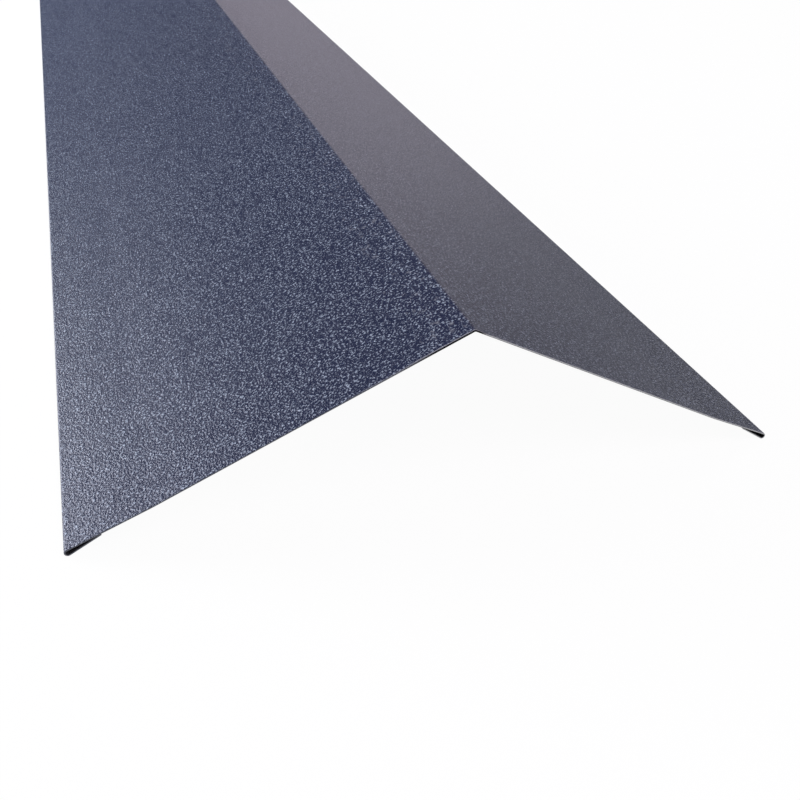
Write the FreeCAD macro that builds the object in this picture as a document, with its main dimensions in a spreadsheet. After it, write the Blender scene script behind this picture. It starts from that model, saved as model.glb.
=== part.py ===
import FreeCAD, Part
import math
import os
import Sketcher

# Ridge cap for a metal roof. One strip of coated steel sheet is bent along its middle into a ridge
# with two flat wings, and each outer edge is turned under into an open, drop-shaped hem.
# Millimetres. The section lies in the XZ plane and the cap runs along Y. The cap stands on the
# noses of its hems, and the origin is on the ground under the middle of the ridge.

document = FreeCAD.newDocument("RidgeCap")
sizes = document.addObject("Spreadsheet::Sheet", "Sizes")

driving_sizes = (
    ("cap_length", 2000.0, "one sold length, from cut end to cut end"),
    ("sheet_thickness", 0.5, "steel with its coats"),
    ("wing_slope", 26.0, "degrees that each wing falls below level"),
    ("wing_flat", 116.0, "flat of a wing, from the sharp line of the ridge to the hem's lift"),
    ("ridge_radius", 1.0, "inside of the ridge bend"),
    ("lift_radius", 120.0, "upper face of the lift, where the wing flattens towards its hem"),
    ("lift_angle", 2.0, "degrees that the lift takes off the wing's slope"),
    ("hem_front", 28.5, "straight from the lift to the nose"),
    ("nose_radius", 0.8, "inside of the hem's nose"),
    ("return_flat", 12.0, "straight of the edge that is turned under"),
    ("return_gap", 0.05, "from the turned edge to the hem's front above it"),
)

for row, (alias, value, meaning) in enumerate(driving_sizes, start=1):
    sizes.set("A%d" % row, alias)
    sizes.set("B%d" % row, str(value))
    sizes.setAlias("B%d" % row, alias)
    sizes.set("C%d" % row, meaning)
document.recompute()


def size(alias):
    return float(sizes.get(alias))


def origin_plane(body, role):
    return next(plane for plane in body.Origin.OriginFeatures if plane.Role == role)


# The section of the right half, worked out first so that the sketch starts in its solved shape.
# down_wing runs from the ridge to the lift, and off_wing stands out of the wing's upper face.
# down_front and off_front are the same for the hem's front, from the lift to the nose. The turned
# edge rises from the nose by the angle at which its tip meets the return gap.

thickness = size("sheet_thickness")
slope = math.radians(size("wing_slope"))
lift = math.radians(size("lift_angle"))
ridge_inside = size("ridge_radius")
ridge_outside = ridge_inside + thickness
lift_above = size("lift_radius")
lift_below = lift_above + thickness
nose_inside = size("nose_radius")
nose_outside = nose_inside + thickness
hem_front = size("hem_front")
return_flat = size("return_flat")
return_gap = size("return_gap")
wing_straight = size("wing_flat") - ridge_outside * math.tan(slope)

level = FreeCAD.Vector(1, 0, 0)
upright = FreeCAD.Vector(0, 1, 0)
out_of_sketch = FreeCAD.Vector(0, 0, 1)
down_wing = level * math.cos(slope) - upright * math.sin(slope)
off_wing = level * math.sin(slope) + upright * math.cos(slope)
down_front = down_wing * math.cos(lift) + off_wing * math.sin(lift)
off_front = off_wing * math.cos(lift) - down_wing * math.sin(lift)

return_reach = math.hypot(return_flat, nose_inside)
return_rise = math.acos((return_gap - nose_inside) / return_reach)
return_rise -= math.atan2(return_flat, nose_inside)

ridge_to_lift = off_wing * (ridge_inside + lift_below) + down_wing * wing_straight
lift_to_nose = down_front * hem_front - off_front * (lift_below + nose_inside)
ridge_to_nose = ridge_to_lift + lift_to_nose
ridge_centre = upright * (nose_outside - ridge_to_nose.y)
lift_centre = ridge_centre + ridge_to_lift
nose_centre = ridge_centre + ridge_to_nose

nose_to_return = down_front * -math.sin(return_rise) - off_front * math.cos(return_rise)
along_return = off_front * math.sin(return_rise) - down_front * math.cos(return_rise)


def line(start, end):
    return Part.LineSegment(start, end)


def arc(centre, radius, start_angle, end_angle):
    circle = Part.Circle(centre, out_of_sketch, radius)
    return Part.ArcOfCircle(circle, start_angle, end_angle)


body = document.addObject("PartDesign::Body", "RidgeCapBody")
body.Label = "ridge_cap"
section = body.newObject("Sketcher::SketchObject", "HalfSection")
section.AttachmentSupport = [(origin_plane(body, "XZ_Plane"), "")]
section.MapMode = "FlatFace"

# The strip's two faces are followed from the ridge out to the turned edge. The upper face is the
# one that the weather meets on the wing, and it is the outside of the nose and of the return.

quarter = math.pi / 2
front_slope = slope - lift
edges = {}
return_end = {}
for face, ridge, above, nose in (
    ("upper", ridge_outside, lift_above, nose_outside),
    ("lower", ridge_inside, lift_below, nose_inside),
):
    wing_start = ridge_centre + off_wing * ridge
    wing_end = wing_start + down_wing * wing_straight
    front_start = lift_centre - off_front * above
    front_end = front_start + down_front * hem_front
    return_start = nose_centre + nose_to_return * nose
    return_end[face] = return_start + along_return * return_flat
    ridge_arc = arc(ridge_centre, ridge, quarter - slope, quarter)
    lift_arc = arc(lift_centre, above, -quarter - slope, -quarter - front_slope)
    nose_arc = arc(nose_centre, nose, -quarter - front_slope - return_rise, quarter - front_slope)
    edges[face, "ridge"] = section.addGeometry(ridge_arc, False)
    edges[face, "wing"] = section.addGeometry(line(wing_start, wing_end), False)
    edges[face, "lift"] = section.addGeometry(lift_arc, False)
    edges[face, "front"] = section.addGeometry(line(front_start, front_end), False)
    edges[face, "nose"] = section.addGeometry(nose_arc, False)
    edges[face, "return"] = section.addGeometry(line(return_start, return_end[face]), False)
free_edge = section.addGeometry(line(return_end["upper"], return_end["lower"]), False)
middle = section.addGeometry(
    line(ridge_centre + upright * ridge_inside, ridge_centre + upright * ridge_outside), False
)

# The points of a line or arc are counted up from 1, and the sketch's own origin and upright axis
# are counted down from -1.
START, END, CENTRE = range(1, 4)
ORIGIN, UPRIGHT_AXIS = range(-1, -3, -1)


def hold(kind, *where):
    return section.addConstraint(Sketcher.Constraint(kind, *where))


def drive(kind, where, value, name, rule):
    index = hold(kind, *where, value)
    section.renameConstraint(index, name)
    section.setExpression("Constraints." + name, rule)


for face in ("upper", "lower"):
    ridge = edges[face, "ridge"]
    wing = edges[face, "wing"]
    lift_bend = edges[face, "lift"]
    front = edges[face, "front"]
    nose = edges[face, "nose"]
    turned = edges[face, "return"]
    hold("Tangent", ridge, START, wing, START)
    hold("Tangent", wing, END, lift_bend, START)
    hold("Tangent", lift_bend, END, front, START)
    hold("Tangent", front, END, nose, END)
    hold("Tangent", nose, START, turned, START)
    hold("PointOnObject", ridge, END, UPRIGHT_AXIS)

# The two faces turn about the same centres, which keeps the sheet one thickness all the way.
for bend in ("ridge", "lift", "nose"):
    hold("Coincident", edges["upper", bend], CENTRE, edges["lower", bend], CENTRE)
hold("PointOnObject", edges["upper", "ridge"], CENTRE, UPRIGHT_AXIS)
hold("Coincident", edges["upper", "return"], END, free_edge, START)
hold("Coincident", edges["lower", "return"], END, free_edge, END)
hold("Coincident", edges["lower", "ridge"], END, middle, START)
hold("Coincident", edges["upper", "ridge"], END, middle, END)
hold("Perpendicular", free_edge, edges["upper", "return"])
hold("Perpendicular", free_edge, edges["lower", "return"])

drive("Radius", (edges["lower", "ridge"],), ridge_inside, "ridge_inside", "Sizes.ridge_radius")
drive(
    "Radius", (edges["upper", "ridge"],), ridge_outside, "ridge_outside",
    "Sizes.ridge_radius + Sizes.sheet_thickness",
)
drive("Angle", (edges["upper", "wing"],), -slope, "wing_fall", "-Sizes.wing_slope * 1 deg")
drive(
    "Distance", (edges["upper", "wing"],), wing_straight, "wing_straight",
    "Sizes.wing_flat"
    " - (Sizes.ridge_radius + Sizes.sheet_thickness) * tan(Sizes.wing_slope * 1 deg)",
)
drive("Radius", (edges["upper", "lift"],), lift_above, "lift_above", "Sizes.lift_radius")
drive(
    "Radius", (edges["lower", "lift"],), lift_below, "lift_below",
    "Sizes.lift_radius + Sizes.sheet_thickness",
)
drive("Angle", (edges["upper", "lift"],), lift, "lift_turn", "Sizes.lift_angle * 1 deg")
drive("Distance", (edges["upper", "front"],), hem_front, "hem_front", "Sizes.hem_front")
drive("Radius", (edges["lower", "nose"],), nose_inside, "nose_inside", "Sizes.nose_radius")
drive(
    "Radius", (edges["upper", "nose"],), nose_outside, "nose_outside",
    "Sizes.nose_radius + Sizes.sheet_thickness",
)
drive(
    "Distance", (edges["lower", "return"],), return_flat, "return_straight", "Sizes.return_flat"
)
drive(
    "Distance", (edges["lower", "return"], END, edges["lower", "front"]), return_gap,
    "return_gap", "Sizes.return_gap",
)
drive(
    "DistanceY", (ORIGIN, START, edges["upper", "nose"], CENTRE), nose_outside, "nose_on_ground",
    "Sizes.nose_radius + Sizes.sheet_thickness",
)
document.recompute()

# The half section runs the whole length, and its mirror image is the other wing.

half = body.newObject("PartDesign::Pad", "RightHalf")
half.Profile = section
half.SideType = "Symmetric"
half.setExpression("Length", "Sizes.cap_length")
document.recompute()

whole = body.newObject("PartDesign::Mirrored", "BothHalves")
whole.Originals = [half]
whole.MirrorPlane = (origin_plane(body, "YZ_Plane"), [""])
whole.Refine = True
body.Tip = whole
body.Placement = FreeCAD.Placement()
document.recompute()

for item in document.Objects:
    if "Invalid" in item.State or "Error" in item.State:
        raise RuntimeError("%s did not compute: %s" % (item.Name, item.State))
if body.Shape.isNull() or not body.Shape.isValid():
    raise RuntimeError("%s has no valid shape" % body.Label)
if len(body.Shape.Solids) != 1:
    raise RuntimeError("%s is not one solid" % body.Label)

print("freedoms left in the section: %d" % section.DoF)
print("%s: %.0f mm3, %s" % (body.Label, body.Shape.Volume, body.Shape.BoundBox))

os.makedirs("parts", exist_ok=True)
body.Shape.exportStep("parts/%s.step" % body.Label)
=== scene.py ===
import math

import bpy
from mathutils import Matrix, Vector


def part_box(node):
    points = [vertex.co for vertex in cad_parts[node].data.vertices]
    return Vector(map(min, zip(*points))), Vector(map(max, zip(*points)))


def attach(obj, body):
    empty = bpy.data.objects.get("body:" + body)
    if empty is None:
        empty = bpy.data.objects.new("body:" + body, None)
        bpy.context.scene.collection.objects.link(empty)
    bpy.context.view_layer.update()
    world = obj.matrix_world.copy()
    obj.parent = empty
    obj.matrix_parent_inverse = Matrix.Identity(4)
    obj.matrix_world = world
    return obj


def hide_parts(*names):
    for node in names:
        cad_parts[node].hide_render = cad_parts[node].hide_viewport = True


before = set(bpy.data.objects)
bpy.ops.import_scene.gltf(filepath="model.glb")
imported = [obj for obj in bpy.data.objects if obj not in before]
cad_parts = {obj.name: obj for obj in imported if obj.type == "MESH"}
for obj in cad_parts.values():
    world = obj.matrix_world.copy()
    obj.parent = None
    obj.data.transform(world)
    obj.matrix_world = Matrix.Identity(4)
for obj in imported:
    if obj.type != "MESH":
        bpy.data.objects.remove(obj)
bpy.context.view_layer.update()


# The cap. One strip of 0.5 mm coated steel is folded along its middle, and each edge is turned
# under in an open hem. Its section is followed here from the ridge to the turned edge, straight by
# bend, as the folding machine makes it, and both cut ends are sheared square.

def mm(length):
    return length / 1000


cap_low, cap_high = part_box("ridge_cap")
sheet_thickness = mm(0.5)
wing_slope = math.radians(26)
wing_flat = mm(116)
ridge_radius = mm(1.0)
lift_radius = mm(120)
lift_turn = math.radians(2)
hem_front = mm(28.5)
nose_radius = mm(0.8)
return_flat = mm(12)
return_gap = mm(0.05)

# The wing's flat is measured from the sharp line of the ridge, so the fold takes a part of it. The
# turned edge comes back up at the angle at which its tip stops one gap under the hem's front.
half_sheet = sheet_thickness / 2
wing_straight = wing_flat - (ridge_radius + sheet_thickness) * math.tan(wing_slope)
return_rise = math.acos((return_gap - nose_radius) / math.hypot(return_flat, nose_radius))
return_rise -= math.atan2(return_flat, nose_radius)

# Steps round the bends and along the straight runs, each from the ridge outwards.
ridge_steps, lift_steps, nose_steps = 8, 6, 32
wing_steps, front_steps, return_steps = 24, 8, 3

# The shear blade drags the weather face down a little before the steel parts, and this roll-over
# runs along both cut ends and both turned edges. Beside it the coat is painted paler in a wider
# band, partly as scuffing and partly as a painted highlight.
roll_length = mm(0.6)
roll_depth = mm(0.07)
roll_steps = 5
roll_insets = [
    roll_length * (1 - math.sin(math.pi / 2 * step / roll_steps)) for step in range(roll_steps + 1)
]
pale_band_width = mm(1.0)
end_insets = [pale_band_width] + roll_insets


def rolled_down(inset):
    """How far the weather face has dropped, at an inset from a sheared edge."""
    reach = max(0.0, 1 - inset / roll_length)
    return roll_depth * (1 - math.sqrt(1 - reach * reach))


def along_run(length, steps, collar=mm(0.15)):
    """Stations on a straight run, with one close to each bend so that its shading stays there."""
    inner = length - 2 * collar
    return [collar + inner * step / steps for step in range(steps + 1)] + [length]


class FoldedStrip:
    """The middle of the sheet, as points with the way that the weather face looks there and the
    length of strip used so far."""

    def __init__(self):
        self.place = Vector((0, 0))
        self.heading = 0.0
        self.used = 0.0
        self.points = []
        self.mark()

    def mark(self):
        facing = Vector((-math.sin(self.heading), math.cos(self.heading)))
        self.points.append((self.place.copy(), facing, self.used))

    def advance(self, distance):
        ahead = Vector((math.cos(self.heading), math.sin(self.heading)))
        self.place = self.place + ahead * distance
        self.used += distance

    def straight(self, stations):
        done = 0.0
        for station in stations:
            self.advance(station - done)
            done = station
            self.mark()

    def bend(self, radius, turn, steps):
        """Positive turns lift the strip, negative ones turn it down and under."""
        for _ in range(steps):
            self.heading += turn / steps / 2
            self.advance(2 * radius * math.sin(abs(turn) / steps / 2))
            self.heading += turn / steps / 2
            self.mark()


half = FoldedStrip()
half.bend(ridge_radius + half_sheet, -wing_slope, ridge_steps)
half.straight(along_run(wing_straight, wing_steps))
half.bend(lift_radius + half_sheet, lift_turn, lift_steps)
half.straight(along_run(hem_front, front_steps))
half.bend(nose_radius + half_sheet, -(math.pi + return_rise), nose_steps)
half.straight(
    along_run(return_flat - roll_length, return_steps)
    + [return_flat - inset for inset in roll_insets[1:]]
)

lowest = min((place + facing * half_sheet).y for place, facing, used in half.points)
to_ground = Vector((0, cap_low.z - lowest))
strip_end = half.used
right_side = [(place + to_ground, facing, strip_end - used) for place, facing, used in half.points]
left_side = [
    (Vector((-place.x, place.y)), Vector((-facing.x, facing.y)), to_edge)
    for place, facing, to_edge in right_side[:0:-1]
]
section = left_side + right_side

body_steps = 60
body_start = cap_low.y + pale_band_width
body_length = cap_high.y - cap_low.y - 2 * pale_band_width
body_stations = [body_start + body_length * step / body_steps for step in range(1, body_steps)]
stations = [cap_low.y + inset for inset in reversed(end_insets)] + body_stations
stations += [cap_high.y - inset for inset in end_insets]

# Three values ride on the points for the finishes: how deep in the sheet a point lies, from 0 on
# the weather face to 1 on the back, how near it is to a sheared edge, and whether a turned edge
# shuts it in.
hem_mouth = mm(2)
hem_depth = 2 * return_flat + (nose_radius + half_sheet) * (math.pi + return_rise)
vertices = []
depth_in_sheet = []
edge_nearness = []
inside_hem = []
for along in stations:
    to_end = min(along - cap_low.y, cap_high.y - along)
    for place, facing, to_edge in section:
        inset = min(to_end, to_edge)
        drop = rolled_down(inset)
        face = place + facing * (half_sheet - drop)
        vertices.append((face.x, along, face.y))
        depth_in_sheet.append(drop / sheet_thickness)
        edge_nearness.append(max(0.0, 1 - inset / pale_band_width))
        inside_hem.append(0.0)
    for place, facing, to_edge in section:
        face = place - facing * half_sheet
        vertices.append((face.x, along, face.y))
        depth_in_sheet.append(1.0)
        edge_nearness.append(0.0)
        to_mouth = min(to_edge, hem_depth - to_edge)
        inside_hem.append(min(1.0, max(0.0, to_mouth / hem_mouth)))

row = len(section)
ring = 2 * row
far_end = (len(stations) - 1) * ring
WEATHER, BACK, CUT = range(3)
faces = []
finish = []


def add_face(corners, slot):
    faces.append(corners)
    finish.append(slot)


for near in range(0, far_end, ring):
    far = near + ring
    for i in range(row - 1):
        back = row + i
        add_face((near + i, near + i + 1, far + i + 1, far + i), WEATHER)
        add_face((near + back, far + back, far + back + 1, near + back + 1), BACK)
    outer = row - 1
    add_face((near, far, far + row, near + row), CUT)
    add_face((near + outer, near + row + outer, far + row + outer, far + outer), CUT)
for i in range(row - 1):
    far = far_end + i
    add_face((i, row + i, row + i + 1, i + 1), CUT)
    add_face((far, far + 1, far + row + 1, far + row), CUT)

mesh = bpy.data.meshes.new("folded_sheet")
mesh.from_pydata(vertices, [], faces)
mesh.polygons.foreach_set("material_index", finish)
mesh.polygons.foreach_set("use_smooth", [True] * len(faces))
for name, values in (
    ("depth_in_sheet", depth_in_sheet),
    ("edge_nearness", edge_nearness),
    ("inside_hem", inside_hem),
):
    mesh.attributes.new(name, "FLOAT", "POINT").data.foreach_set("value", values)
mesh.update()

# The arrises between the two faces and the sheared steel are sharp, and all the rest is smooth.
finishes_at = {}
for polygon in mesh.polygons:
    for key in polygon.edge_keys:
        finishes_at.setdefault(key, set()).add(polygon.material_index)
mesh.attributes.new("sharp_edge", "BOOLEAN", "EDGE").data.foreach_set(
    "value", [len(finishes_at[edge.key]) > 1 for edge in mesh.edges]
)
cap = bpy.data.objects.new("folded_sheet", mesh)
bpy.context.scene.collection.objects.link(cap)


def linear(hex_colour):
    """Turns an sRGB hex colour to linear RGBA."""
    parts = [int(hex_colour[i:i + 2], 16) / 255 for i in (1, 3, 5)]
    lit = [part / 12.92 if part <= 0.04045 else ((part + 0.055) / 1.055) ** 2.4 for part in parts]
    return (*lit, 1.0)


def new_material(name):
    material = bpy.data.materials.new(name)
    material.use_nodes = True
    material.node_tree.nodes.clear()
    return material


def add_node(tree, kind, settings=None, values=None, links=None):
    """Adds a node, sets its own settings and its sockets' values, and links its inputs."""
    node = tree.nodes.new(kind)
    for key, value in (settings or {}).items():
        setattr(node, key, value)
    for key, value in (values or {}).items():
        node.inputs[key].default_value = value
    for key, source in (links or {}).items():
        tree.links.new(source, node.inputs[key])
    return node


# Weather side: polyester coil coating in a matt blue anthracite, with a fine pebbled grain that
# forms as it cures. Its colour follows the grain's height: near-black navy in the hollows as
# painted shade, and pale grey on the crests as a painted highlight, the specks of light that they
# catch. The grain's relief is drawn deeper than the real one, so that it shows.
weather_coat = new_material("pebbled_polyester_coat")
tree = weather_coat.node_tree
pebble_pitch = mm(0.75)
pebble_depth = mm(0.4)
hollow_top = 0.54
crest_top = 0.73
hollow_painted_shade = linear("#05102b")
crest_painted_highlight = linear("#838c9a")
surface = add_node(tree, "ShaderNodeNewGeometry")
pebbles = add_node(
    tree, "ShaderNodeTexNoise", {}, {"Scale": 1 / pebble_pitch, "Detail": 1.0},
    {"Vector": surface.outputs["Position"]},
)
bump = add_node(
    tree, "ShaderNodeBump", {}, {"Distance": pebble_depth}, {"Height": pebbles.outputs["Fac"]}
)
# The grain's height picks the colour: painted shade in the hollows, painted highlight on the
# crests.
crest = add_node(
    tree, "ShaderNodeMapRange", {}, {"From Min": hollow_top, "From Max": crest_top},
    {"Value": pebbles.outputs["Fac"]},
)
# The colour mix node has several inputs of one name, so its factor and colours go by number.
painted_grain_shading = add_node(
    tree, "ShaderNodeMix", {"data_type": "RGBA"}, {6: hollow_painted_shade, 7: crest_painted_highlight},
    {0: crest.outputs["Result"]},
)

# Along the sheared edges the coat is painted pale grey in patches, from a little left of the fold
# to the right: partly scuffed coat, partly a painted highlight on the rolled edge. Beside the fold,
# on its left, the patches are wider, and the outermost 0.3 to 0.4 mm is painted as black as the
# cut.
pale_patch_size = mm(3)
pale_band_extra = 0.35
pale_band_starts, pale_band_full = 0.95, 1.3
pale_band_off_left, pale_band_on_from = mm(-45), mm(-20)
black_starts, black_from = mm(-26), mm(-14)
black_until, black_ends = mm(2), mm(5)
black_band_starts, black_band_full = 0.60, 0.68
scuffed_and_lit_grey = linear("#74757c")
cut_black = linear("#101112")
edge = add_node(tree, "ShaderNodeAttribute", {"attribute_name": "edge_nearness"})
patches = add_node(
    tree, "ShaderNodeTexNoise", {}, {"Scale": 1 / pale_patch_size, "Detail": 2.0},
    {"Vector": surface.outputs["Position"]},
)
near_and_patchy = add_node(
    tree, "ShaderNodeMath", {"operation": "ADD"}, {},
    {0: edge.outputs["Fac"], 1: patches.outputs["Fac"]},
)
across = add_node(tree, "ShaderNodeSeparateXYZ", links={"Vector": surface.outputs["Position"]})
from_left = add_node(
    tree, "ShaderNodeMapRange", {}, {"From Min": black_starts, "From Max": black_from},
    {"Value": across.outputs["X"]},
)
to_right = add_node(
    tree, "ShaderNodeMapRange", {}, {"From Min": black_ends, "From Max": black_until},
    {"Value": across.outputs["X"]},
)
beside_fold = add_node(
    tree, "ShaderNodeMath", {"operation": "MULTIPLY"}, {},
    {0: from_left.outputs["Result"], 1: to_right.outputs["Result"]},
)
wider_there = add_node(
    tree, "ShaderNodeMath", {"operation": "MULTIPLY_ADD"}, {1: pale_band_extra},
    {0: beside_fold.outputs["Value"], 2: near_and_patchy.outputs["Value"]},
)
worn_and_lit = add_node(
    tree, "ShaderNodeMapRange", {}, {"From Min": pale_band_starts, "From Max": pale_band_full},
    {"Value": wider_there.outputs["Value"]},
)
clear_of_left = add_node(
    tree, "ShaderNodeMapRange", {}, {"From Min": pale_band_off_left, "From Max": pale_band_on_from},
    {"Value": across.outputs["X"]},
)
scuffed_and_lit = add_node(
    tree, "ShaderNodeMath", {"operation": "MULTIPLY"}, {},
    {0: worn_and_lit.outputs["Result"], 1: clear_of_left.outputs["Result"]},
)
# The outermost edge beside the fold, on its left, is painted black.
outermost = add_node(
    tree, "ShaderNodeMapRange", {}, {"From Min": black_band_starts, "From Max": black_band_full},
    {"Value": edge.outputs["Fac"]},
)
black_edge_band = add_node(
    tree, "ShaderNodeMath", {"operation": "MULTIPLY"}, {},
    {0: outermost.outputs["Result"], 1: beside_fold.outputs["Value"]},
)
# Pale grey edge band: part scuffed coat, part painted highlight.
scuffed_and_lit_colour = add_node(
    tree, "ShaderNodeMix", {"data_type": "RGBA"}, {7: scuffed_and_lit_grey},
    {0: scuffed_and_lit.outputs["Value"], 6: painted_grain_shading.outputs[2]},
)
coat_colour = add_node(
    tree, "ShaderNodeMix", {"data_type": "RGBA"}, {7: cut_black},
    {0: black_edge_band.outputs["Value"], 6: scuffed_and_lit_colour.outputs[2]},
)
paint = add_node(
    tree, "ShaderNodeBsdfPrincipled", {},
    {"Roughness": 0.43, "IOR": 1.5, "Specular IOR Level": 0.22,
     "Specular Tint": linear("#e6e0ff")},
    {"Base Color": coat_colour.outputs[2], "Normal": bump.outputs["Normal"]},
)
add_node(tree, "ShaderNodeOutputMaterial", links={"Surface": paint.outputs["BSDF"]})

# Underside: thin grey backing coat, smooth and satin, with the faint mottle and the fine streaks
# along the strip that a roller coat has. The turned edges shut it in, and there it is painted dark
# grey as painted shade.
back_coat = new_material("grey_backing_coat")
tree = back_coat.node_tree
mottle_size = mm(9)
streak_width = mm(1.2)
streak_stretch = 0.03
streak_depth = mm(0.02)
dark_tone, light_tone = 0.12, 0.40
satin_least, satin_most = 0.36, 0.50
surface = add_node(tree, "ShaderNodeNewGeometry")
mottle = add_node(
    tree, "ShaderNodeTexNoise", {}, {"Scale": 1 / mottle_size, "Detail": 3.0},
    {"Vector": surface.outputs["Position"]},
)
along_strip = add_node(
    tree, "ShaderNodeMapping", {}, {"Scale": (1.0, streak_stretch, 1.0)},
    {"Vector": surface.outputs["Position"]},
)
streaks = add_node(
    tree, "ShaderNodeTexNoise", {}, {"Scale": 1 / streak_width, "Detail": 2.0},
    {"Vector": along_strip.outputs["Vector"]},
)
tone = add_node(
    tree, "ShaderNodeMath", {"operation": "MULTIPLY"}, {},
    {0: mottle.outputs["Fac"], 1: streaks.outputs["Fac"]},
)
lightness = add_node(
    tree, "ShaderNodeMapRange", {}, {"From Min": dark_tone, "From Max": light_tone},
    {"Value": tone.outputs["Value"]},
)
unshaded_backing = add_node(
    tree, "ShaderNodeMix", {"data_type": "RGBA"}, {6: linear("#8f918f"), 7: linear("#a4a6a4")},
    {0: lightness.outputs["Result"]},
)
# Inside the turned edges the backing is painted dark grey as painted shade.
hem_shade_mask = add_node(tree, "ShaderNodeAttribute", {"attribute_name": "inside_hem"})
backing_colour = add_node(
    tree, "ShaderNodeMix", {"data_type": "RGBA"}, {7: linear("#2f3033")},
    {0: hem_shade_mask.outputs["Fac"], 6: unshaded_backing.outputs[2]},
)
satin = add_node(
    tree, "ShaderNodeMapRange", {}, {"To Min": satin_least, "To Max": satin_most},
    {"Value": mottle.outputs["Fac"]},
)
lines = add_node(
    tree, "ShaderNodeBump", {}, {"Distance": streak_depth}, {"Height": streaks.outputs["Fac"]}
)
backing = add_node(
    tree, "ShaderNodeBsdfPrincipled", {}, {"IOR": 1.5},
    {"Base Color": backing_colour.outputs[2], "Roughness": satin.outputs["Result"],
     "Normal": lines.outputs["Normal"]},
)
add_node(tree, "ShaderNodeOutputMaterial", links={"Surface": backing.outputs["BSDF"]})

# Sheared edges: bare zinc-coated steel. On the right the blade burnishes the cut bright under the
# weather face, and the rest tears dull and rough. On the left the whole cut is painted as dark as
# the coat, as painted shade, and it is nearly black beside the fold.
cut_steel = new_material("sheared_galvanised_steel")
tree = cut_steel.node_tree
tear_size = mm(0.25)
tear_depth = mm(0.05)
tear_starts, tear_full = 0.22, 0.34
burnished_roughness, torn_roughness = 0.3, 0.6
surface = add_node(tree, "ShaderNodeNewGeometry")
tears = add_node(
    tree, "ShaderNodeTexNoise", {}, {"Scale": 1 / tear_size, "Detail": 3.0},
    {"Vector": surface.outputs["Position"]},
)
depth = add_node(tree, "ShaderNodeAttribute", {"attribute_name": "depth_in_sheet"})
ragged_depth = add_node(
    tree, "ShaderNodeMath", {"operation": "MULTIPLY"}, {},
    {0: depth.outputs["Fac"], 1: tears.outputs["Fac"]},
)
torn = add_node(
    tree, "ShaderNodeMapRange", {}, {"From Min": tear_starts, "From Max": tear_full},
    {"Value": ragged_depth.outputs["Value"]},
)
right_colour = add_node(
    tree, "ShaderNodeMix", {"data_type": "RGBA"}, {6: linear("#b2b3b5"), 7: linear("#77787a")},
    {0: torn.outputs["Result"]},
)
across = add_node(tree, "ShaderNodeSeparateXYZ", links={"Vector": surface.outputs["Position"]})
near_fold = add_node(
    tree, "ShaderNodeMapRange", {}, {"From Min": black_starts, "From Max": black_from},
    {"Value": across.outputs["X"]},
)
right_of_fold = add_node(
    tree, "ShaderNodeMapRange", {}, {"From Min": black_until, "From Max": black_ends},
    {"Value": across.outputs["X"]},
)
# The left half of the cut is painted darker than the right, as painted shade, and nearly black
# beside the fold.
left_cut_painted_shade = add_node(
    tree, "ShaderNodeMix", {"data_type": "RGBA"}, {6: linear("#5c5e66"), 7: cut_black},
    {0: near_fold.outputs["Result"]},
)
cut_colour = add_node(
    tree, "ShaderNodeMix", {"data_type": "RGBA"}, {},
    {0: right_of_fold.outputs["Result"], 6: left_cut_painted_shade.outputs[2], 7: right_colour.outputs[2]},
)
dullness = add_node(
    tree, "ShaderNodeMapRange", {}, {"To Min": burnished_roughness, "To Max": torn_roughness},
    {"Value": torn.outputs["Result"]},
)
rags = add_node(
    tree, "ShaderNodeBump", {}, {"Distance": tear_depth}, {"Height": tears.outputs["Fac"]}
)
steel = add_node(
    tree, "ShaderNodeBsdfPrincipled", {}, {"Metallic": 1.0},
    {"Base Color": cut_colour.outputs[2], "Roughness": dullness.outputs["Result"],
     "Normal": rags.outputs["Normal"]},
)
add_node(tree, "ShaderNodeOutputMaterial", links={"Surface": steel.outputs["BSDF"]})

for material in (weather_coat, back_coat, cut_steel):
    mesh.materials.append(material)

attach(cap, "root")
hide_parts("ridge_cap")


# The studio. A plain pale floor runs out to the horizon. It is white where the camera or a mirrored
# ray sees it, apart from the share that keeps the object's soft shadow.
floor_reach = 40.0
floor_mesh = bpy.data.meshes.new("floor")
floor_mesh.from_pydata(
    [(-floor_reach, -floor_reach, 0), (floor_reach, -floor_reach, 0),
     (floor_reach, floor_reach, 0), (-floor_reach, floor_reach, 0)],
    [], [(0, 1, 2, 3)],
)
floor = bpy.data.objects.new("floor", floor_mesh)
bpy.context.scene.collection.objects.link(floor)
floor_paint = new_material("pale_matt_floor")
tree = floor_paint.node_tree
white_share = 0.96
light_path = add_node(tree, "ShaderNodeLightPath")
seen = light_path.outputs["Is Camera Ray"]
for ray in ("Is Glossy Ray", "Is Transmission Ray"):
    either = add_node(
        tree, "ShaderNodeMath", {"operation": "MAXIMUM"}, {}, {0: seen, 1: light_path.outputs[ray]}
    )
    seen = either.outputs["Value"]
share = add_node(
    tree, "ShaderNodeMath", {"operation": "MULTIPLY"}, {1: white_share}, {0: seen}
)
matt = add_node(tree, "ShaderNodeBsdfDiffuse", {}, {"Color": linear("#ececec")})
white = add_node(tree, "ShaderNodeEmission", {}, {"Color": (1, 1, 1, 1), "Strength": 1.0})
mixed = add_node(
    tree, "ShaderNodeMixShader", {}, {},
    {0: share.outputs["Value"], 1: matt.outputs["BSDF"], 2: white.outputs["Emission"]},
)
add_node(tree, "ShaderNodeOutputMaterial", links={"Surface": mixed.outputs["Shader"]})
floor_mesh.materials.append(floor_paint)

# A dim cool room gives the fill. Two low softboxes stand on the left, a long weak one and a shorter
# strong one, so that the grain is lit from the side. A large one hangs before the near end, another
# over the far half, and a small low one on the right gives that wing its faint sheen.
room = bpy.data.worlds.new("pale_room")
bpy.context.scene.world = room
room.use_nodes = True
room.node_tree.nodes.clear()
tree = room.node_tree
walls = add_node(
    tree, "ShaderNodeBackground", {}, {"Color": linear("#f8f6ff"), "Strength": 0.18}
)
add_node(tree, "ShaderNodeOutputWorld", links={"Surface": walls.outputs["Background"]})


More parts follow.
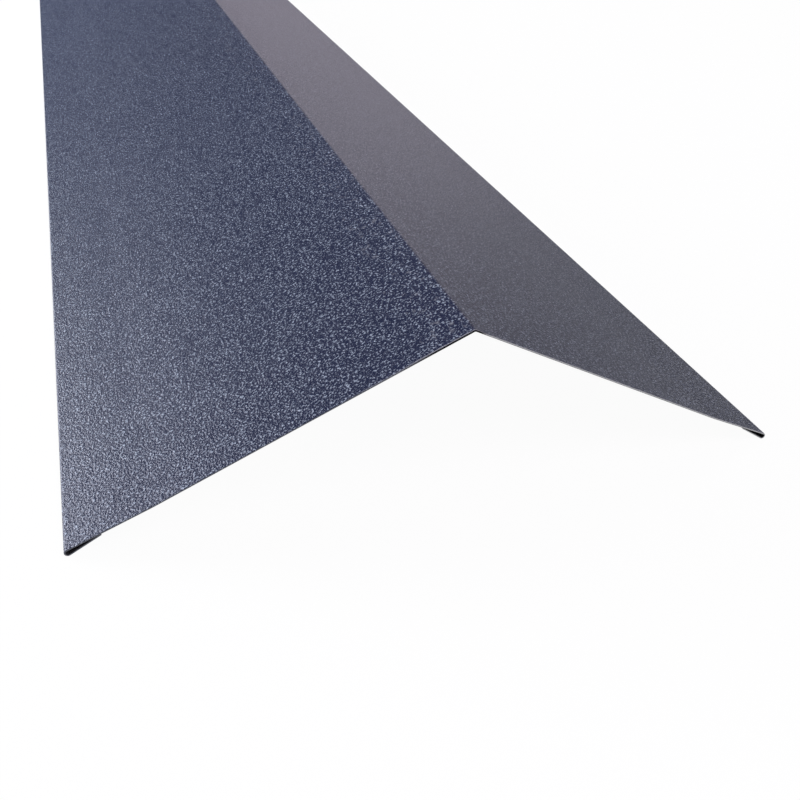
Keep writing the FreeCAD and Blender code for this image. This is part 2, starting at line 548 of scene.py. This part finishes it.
def add_softbox(name, place, lit_place, width, height, power, colour):
    """Stands a soft lamp at a place, turned towards the part of the cap that it lights."""
    lamp = bpy.data.lights.new(name, "AREA")
    lamp.shape = "RECTANGLE"
    lamp.size = width
    lamp.size_y = height
    lamp.energy = power
    lamp.color = linear(colour)[:3]
    softbox = bpy.data.objects.new(name, lamp)
    toward = Vector(lit_place) - Vector(place)
    turned = toward.to_track_quat("-Z", "Y").to_matrix().to_4x4()
    softbox.matrix_world = Matrix.Translation(place) @ turned
    softbox.visible_camera = False
    bpy.context.scene.collection.objects.link(softbox)


near_end = (0, -0.85, 0.03)
far_half = (0, 0.60, 0.03)
add_softbox(
    "left_softbox", place=(-1.645, 0.10, 0.30), lit_place=near_end,
    width=1.4, height=0.5, power=5, colour="#f6faff",
)
add_softbox(
    "near_softbox", place=(-1.126, -0.20, 0.30), lit_place=near_end,
    width=1.0, height=0.5, power=39, colour="#f6faff",
)
add_softbox(
    "front_softbox", place=(0.836, -1.846, 1.50), lit_place=near_end,
    width=1.2, height=1.2, power=25, colour="#fdf0ff",
)
add_softbox(
    "right_softbox", place=(0.803, 0.872, 0.40), lit_place=near_end,
    width=1.0, height=0.6, power=3, colour="#fdf0ff",
)
add_softbox(
    "far_softbox", place=(0.35, 0.75, 2.00), lit_place=far_half,
    width=1.2, height=1.2, power=18, colour="#fbfaff",
)

# The camera stands before the near end, a little left of the ridge, and looks down on it.
camera_place = (-0.1130, -1.2337, 0.2094)
camera_pitch = math.radians(33.611)
camera_yaw = math.radians(20.774)
camera_roll = math.radians(4.154)
focal_pixels = 912.4
photo_pixels = 800
camera_data = bpy.data.cameras.new("camera")
camera_data.sensor_width = 36.0
camera_data.lens = camera_data.sensor_width * focal_pixels / photo_pixels
camera = bpy.data.objects.new("camera", camera_data)
camera.matrix_world = (
    Matrix.Translation(camera_place)
    @ Matrix.Rotation(-camera_yaw, 4, "Z")
    @ Matrix.Rotation(math.pi / 2 - camera_pitch, 4, "X")
    @ Matrix.Rotation(camera_roll, 4, "Z")
)
bpy.context.scene.collection.objects.link(camera)
bpy.context.scene.camera = camera
bpy.context.scene.view_settings.view_transform = "Standard"
